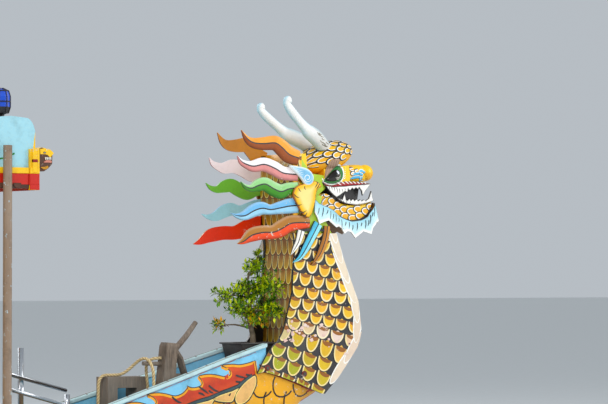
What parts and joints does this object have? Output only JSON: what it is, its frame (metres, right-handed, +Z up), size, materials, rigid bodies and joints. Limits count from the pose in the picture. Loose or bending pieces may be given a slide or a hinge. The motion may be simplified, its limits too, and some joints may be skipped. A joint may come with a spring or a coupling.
{
  "type": "dragon boat",
  "caption": "River passenger boat with a carved dragon's neck and head on the stem, a roofed cabin, a flame tail and a stern rudder.",
  "frame": {"origin": "on the waterline amidships, on the centreline", "axes": "+X towards the bow, +Y to port, +Z up"},
  "size_m": [12.5808, 2.2, 3.9379],
  "materials": {
    "hull_paint": "oil-painted planks, brick red",
    "bulwark_paint": "oil-painted planks, light blue",
    "rail_paint": "worn pale blue paint on wood",
    "deck_wood": "oiled planks",
    "cabin_paint": "painted boards, pale blue",
    "trim_paint": "painted boards, yellow",
    "door_wood": "varnished red-brown wood",
    "bench_wood": "varnished wood",
    "roof_sheet": "painted sheet, matte",
    "fascia_paint": null,
    "post_steel": "worn paint and rust",
    "lamp_frame": "black enamel",
    "lamp_glass": "dark blue glass",
    "scale_paint": "painted scales, yellow ochre",
    "belly_paint": "cream paint",
    "head_paint": "oil paint on carved wood",
    "jaw_paint": "oil paint on carved wood",
    "tooth_paint": "white gloss paint",
    "eye_gloss": "black glaze",
    "mane_upper_paint": "oil paint on carved wood",
    "mane_lower_paint": "oil paint on carved wood",
    "ear_paint": "oil paint on carved wood",
    "tuft_paint": "oil paint on carved wood",
    "horn_paint": "white gloss paint, light blue edges",
    "beard_paint": "pale blue paint, white edge",
    "shaft_steel": "brushed",
    "propeller_bronze": "cast, polished",
    "rudder_paint": "red lead paint",
    "engine_iron": "painted casting",
    "cover_wood": "oiled boards",
    "weathered_wood": "grey weathered wood",
    "stainless": "polished tube",
    "planter_clay": "dark brown glaze, dull",
    "plant": "bark and leaves",
    "rope_fibre": "laid fibre, weathered",
    "wheel_plastic": "moulded, black"
  },
  "bodies": {
    "boat": {"beard": "beard_paint", "benches": "bench_wood", "boarding_rail": "stainless", "bonsai": "plant", "bulwark_port": "bulwark_paint", "bulwark_starboard": "bulwark_paint", "cabin_back": "trim_paint", "cabin_deck": "deck_wood", "cabin_front": "trim_paint", "cabin_wall_port": "cabin_paint", "cabin_wall_starboard": "cabin_paint", "cap_rail_port": "rail_paint", "cap_rail_starboard": "rail_paint", "crate": "weathered_wood", "crutch": "weathered_wood", "ear_port": "ear_paint", "ear_starboard": "ear_paint", "engine": "engine_iron", "engine_box": "cover_wood", "eye_port": "eye_gloss", "eye_starboard": "eye_gloss", "fascia_back": "trim_paint", "fascia_front": "trim_paint", "fascia_port": "fascia_paint", "fascia_starboard": "fascia_paint", "head": "head_paint", "helm_console": "cabin_paint", "horn_port": "horn_paint", "horn_starboard": "horn_paint", "hull": "hull_paint", "lamp_port": "lamp_frame", "lamp_starboard": "lamp_frame", "lower_jaw": "jaw_paint", "mane_lower_port": "mane_lower_paint", "mane_lower_starboard": "mane_lower_paint", "mane_upper_port": "mane_upper_paint", "mane_upper_starboard": "mane_upper_paint", "mooring_post": "weathered_wood", "neck_back": "scale_paint", "neck_front": "belly_paint", "neck_side_port": "scale_paint", "neck_side_starboard": "scale_paint", "planter": "planter_clay", "post_port": "post_steel", "post_starboard": "post_steel", "roof": "roof_sheet", "rope": "rope_fibre", "rope_coil": "rope_fibre", "shaft": "shaft_steel", "skull": "scale_paint", "stern_bulwark": "bulwark_paint", "tail": "scale_paint", "tuft_port": "tuft_paint", "tuft_starboard": "tuft_paint", "upper_jaw": "jaw_paint"},
    "door": {"cabin_door": "door_wood"},
    "propeller": {"propeller": "propeller_bronze"},
    "rudder": {"rudder": "rudder_paint"},
    "helm_wheel": {"helm_wheel": "wheel_plastic"},
    "engine_lid": {"engine_lid": "cover_wood"}
  },
  "joints": [
    {"name": "door_hinge", "type": "hinge", "parent": "boat", "child": "door", "pos_m": [1.2, -0.356, 1.55], "axis": [0, 0, -1], "range_deg": [0, 110]},
    {"name": "lid_hinge", "type": "hinge", "parent": "boat", "child": "engine_lid", "pos_m": [-4.38, 0, 1.15], "axis": [0, 1, 0], "range_deg": [0, 100]},
    {"name": "rudder_turn", "type": "hinge", "parent": "boat", "child": "rudder", "pos_m": [-5.56, 0, 0], "axis": [0, 0, 1], "range_deg": [-35, 35]},
    {"name": "helm_turn", "type": "hinge", "parent": "boat", "child": "helm_wheel", "pos_m": [1.675, 0.54, 1.295], "axis": [1, 0, 0], "range_deg": [-175, 175]},
    {"name": "propeller_spin", "type": "hinge", "parent": "boat", "child": "propeller", "pos_m": [-5.11, 0, -0.303], "axis": [0.9983, 0, 0.058], "continuous": true}
  ],
  "couplings": [
    {"joint": "helm_turn", "follows": "rudder_turn", "ratio": 5}
  ]
}
